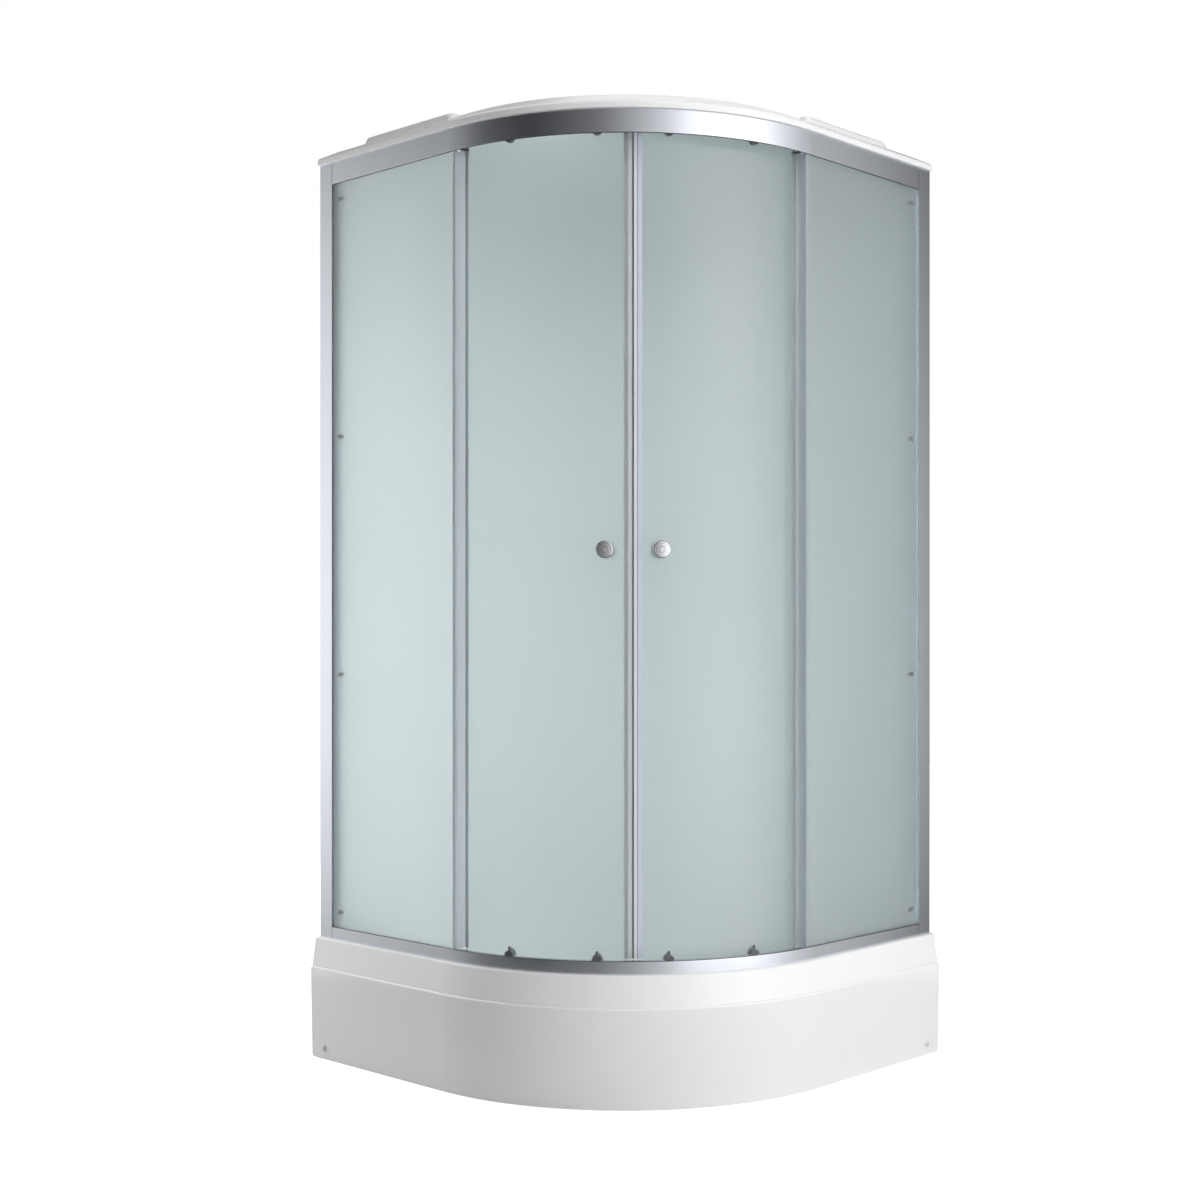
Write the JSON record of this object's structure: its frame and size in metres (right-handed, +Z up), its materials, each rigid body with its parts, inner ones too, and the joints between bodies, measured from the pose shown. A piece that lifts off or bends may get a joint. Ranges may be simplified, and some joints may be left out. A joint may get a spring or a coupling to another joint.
{
  "type": "shower cabin",
  "caption": "Quadrant corner shower cabin with frosted curved sliding doors, satin aluminium rails, a deep white skirted tray, a moulded roof, a mixer and an overhead shower.",
  "frame": {"origin": "on the floor, under the middle of the square footprint", "axes": "+Z up; the room's two walls stand at -X and +Y, and the bow faces +X -Y"},
  "size_m": [0.9, 0.9, 1.9502],
  "materials": {
    "white_acrylic": "glossy sanitary acrylic on a glass fibre shell",
    "white_plastic": "moulded, semi-gloss",
    "satin_aluminium": "satin anodised extrusion",
    "frosted_glass": "toughened glass, satin etched",
    "clear_vinyl": "translucent soft vinyl extrusion",
    "chrome": "polished chrome plate",
    "chromed_plastic": "chrome plated plastic shell",
    "grey_plastic": "moulded dark grey plastic",
    "wheel_nylon": "turned nylon tread",
    "zinc_steel": "zinc plated",
    "frame_steel": "galvanised square tube",
    "foot_rubber": "moulded black rubber"
  },
  "bodies": {
    "cabin": {"tray": "white_acrylic", "front_skirt": "white_acrylic", "skirt_caps": "white_plastic", "base_frame": "frame_steel", "foot_rods": "zinc_steel", "foot_pads": "foot_rubber", "foot_nuts": "zinc_steel", "drain_cover": "chrome", "drain_trap": "white_plastic", "upper_rail": "satin_aluminium", "lower_rail": "satin_aluminium", "profile_screws": "zinc_steel", "rail_stops": "grey_plastic", "corner_column": "white_acrylic", "mixer_body": "chrome", "shower_arm": "chrome", "roof": "white_acrylic", "roof_screws": "zinc_steel", "left_wall_profile": "satin_aluminium", "left_fixed_glass": "frosted_glass", "left_fixed_seal": "clear_vinyl", "left_glass_clips": "grey_plastic", "left_back_panel": "white_acrylic", "right_wall_profile": "satin_aluminium", "right_fixed_glass": "frosted_glass", "right_fixed_seal": "clear_vinyl", "right_glass_clips": "grey_plastic", "right_back_panel": "white_acrylic"},
    "left_door": {"left_door_glass": "frosted_glass", "left_magnet_seal": "clear_vinyl", "left_rear_seal": "clear_vinyl", "left_outer_knob": "chrome", "left_inner_knob": "chrome", "left_upper_brackets": "grey_plastic", "left_lower_brackets": "grey_plastic", "left_bracket_screws": "zinc_steel"},
    "left_release_pin_front": {"left_release_pin_front": "grey_plastic"},
    "left_upper_wheel_front": {"left_upper_wheel_front": "wheel_nylon"},
    "left_lower_wheel_front": {"left_lower_wheel_front": "wheel_nylon"},
    "left_release_pin_rear": {"left_release_pin_rear": "grey_plastic"},
    "left_upper_wheel_rear": {"left_upper_wheel_rear": "wheel_nylon"},
    "left_lower_wheel_rear": {"left_lower_wheel_rear": "wheel_nylon"},
    "right_door": {"right_door_glass": "frosted_glass", "right_magnet_seal": "clear_vinyl", "right_rear_seal": "clear_vinyl", "right_outer_knob": "chrome", "right_inner_knob": "chrome", "right_upper_brackets": "grey_plastic", "right_lower_brackets": "grey_plastic", "right_bracket_screws": "zinc_steel"},
    "right_release_pin_front": {"right_release_pin_front": "grey_plastic"},
    "right_upper_wheel_front": {"right_upper_wheel_front": "wheel_nylon"},
    "right_lower_wheel_front": {"right_lower_wheel_front": "wheel_nylon"},
    "right_release_pin_rear": {"right_release_pin_rear": "grey_plastic"},
    "right_upper_wheel_rear": {"right_upper_wheel_rear": "wheel_nylon"},
    "right_lower_wheel_rear": {"right_lower_wheel_rear": "wheel_nylon"},
    "mixer_collar": {"mixer_collar": "chrome"},
    "mixer_lever": {"mixer_lever": "chrome"},
    "diverter_knob": {"diverter_knob": "chrome"},
    "shower_head": {"shower_head": "chromed_plastic"}
  },
  "joints": [
    {"name": "left_door_travel", "type": "hinge", "parent": "cabin", "child": "left_door", "pos_m": [-0.0714, 0.1166, 1], "axis": [0, 0, -1], "range_deg": [0, 24.47]},
    {"name": "left_release_pin_front_push", "type": "slide", "parent": "left_door", "child": "left_release_pin_front", "axis": [0, 0, -1], "range_m": [0, 0.005], "stiffness_N_per_m": 2000},
    {"name": "left_upper_wheel_front_roll", "type": "hinge", "parent": "left_door", "child": "left_upper_wheel_front", "pos_m": [0.2261, -0.32042, 1.7763], "axis": [0.5976, -0.8018, 0], "range_deg": [0, 1181.01]},
    {"name": "left_lower_wheel_front_roll", "type": "hinge", "parent": "left_release_pin_front", "child": "left_lower_wheel_front", "pos_m": [0.2261, -0.32042, 0.2527], "axis": [0.5976, -0.8018, 0], "range_deg": [-1729.81, 0]},
    {"name": "left_release_pin_rear_push", "type": "slide", "parent": "left_door", "child": "left_release_pin_rear", "axis": [0, 0, -1], "range_m": [0, 0.005], "stiffness_N_per_m": 2000},
    {"name": "left_upper_wheel_rear_roll", "type": "hinge", "parent": "left_door", "child": "left_upper_wheel_rear", "pos_m": [0.07035, -0.39605, 1.7763], "axis": [0.2605, -0.9655, 0], "range_deg": [0, 1188.16]},
    {"name": "left_lower_wheel_rear_roll", "type": "hinge", "parent": "left_release_pin_rear", "child": "left_lower_wheel_rear", "pos_m": [0.07035, -0.39605, 0.2527], "axis": [0.2605, -0.9655, 0], "range_deg": [-1740.3, 0]},
    {"name": "right_door_travel", "type": "hinge", "parent": "cabin", "child": "right_door", "pos_m": [-0.1166, 0.0714, 1], "axis": [0, 0, 1], "range_deg": [0, 24.47]},
    {"name": "right_release_pin_front_push", "type": "slide", "parent": "right_door", "child": "right_release_pin_front", "axis": [0, 0, -1], "range_m": [0, 0.005], "stiffness_N_per_m": 2000},
    {"name": "right_upper_wheel_front_roll", "type": "hinge", "parent": "right_door", "child": "right_upper_wheel_front", "pos_m": [0.32042, -0.2261, 1.7763], "axis": [0.8018, -0.5976, 0], "range_deg": [-1181.01, 0]},
    {"name": "right_lower_wheel_front_roll", "type": "hinge", "parent": "right_release_pin_front", "child": "right_lower_wheel_front", "pos_m": [0.32042, -0.2261, 0.2527], "axis": [0.8018, -0.5976, 0], "range_deg": [0, 1729.81]},
    {"name": "right_release_pin_rear_push", "type": "slide", "parent": "right_door", "child": "right_release_pin_rear", "axis": [0, 0, -1], "range_m": [0, 0.005], "stiffness_N_per_m": 2000},
    {"name": "right_upper_wheel_rear_roll", "type": "hinge", "parent": "right_door", "child": "right_upper_wheel_rear", "pos_m": [0.39605, -0.07035, 1.7763], "axis": [0.9655, -0.2605, 0], "range_deg": [-1188.16, 0]},
    {"name": "right_lower_wheel_rear_roll", "type": "hinge", "parent": "right_release_pin_rear", "child": "right_lower_wheel_rear", "pos_m": [0.39605, -0.07035, 0.2527], "axis": [0.9655, -0.2605, 0], "range_deg": [0, 1740.3]},
    {"name": "mixer_turn", "type": "hinge", "parent": "cabin", "child": "mixer_collar", "pos_m": [-0.3195, 0.3195, 1], "axis": [0.7071, -0.7071, 0], "range_deg": [-45, 45]},
    {"name": "lever_lift", "type": "hinge", "parent": "mixer_collar", "child": "mixer_lever", "pos_m": [-0.30303, 0.30303, 1], "axis": [0.7071, 0.7071, 0], "range_deg": [0, 25]},
    {"name": "diverter_turn", "type": "hinge", "parent": "cabin", "child": "diverter_knob", "pos_m": [-0.348, 0.348, 0.89], "axis": [0.7071, -0.7071, 0], "range_deg": [0, 90]},
    {"name": "head_tilt", "type": "hinge", "parent": "cabin", "child": "shower_head", "pos_m": [-0.18537, 0.18537, 1.606], "axis": [0.7071, 0.7071, 0], "range_deg": [-12, 12]}
  ],
  "couplings": [
    {"joint": "left_upper_wheel_front_roll", "follows": "left_door_travel", "ratio": 48.061},
    {"joint": "left_lower_wheel_front_roll", "follows": "left_door_travel", "ratio": -70.49},
    {"joint": "left_upper_wheel_rear_roll", "follows": "left_door_travel", "ratio": 48.353},
    {"joint": "left_lower_wheel_rear_roll", "follows": "left_door_travel", "ratio": -70.918},
    {"joint": "right_upper_wheel_front_roll", "follows": "right_door_travel", "ratio": -48.061},
    {"joint": "right_lower_wheel_front_roll", "follows": "right_door_travel", "ratio": 70.49},
    {"joint": "right_upper_wheel_rear_roll", "follows": "right_door_travel", "ratio": -48.353},
    {"joint": "right_lower_wheel_rear_roll", "follows": "right_door_travel", "ratio": 70.918}
  ]
}
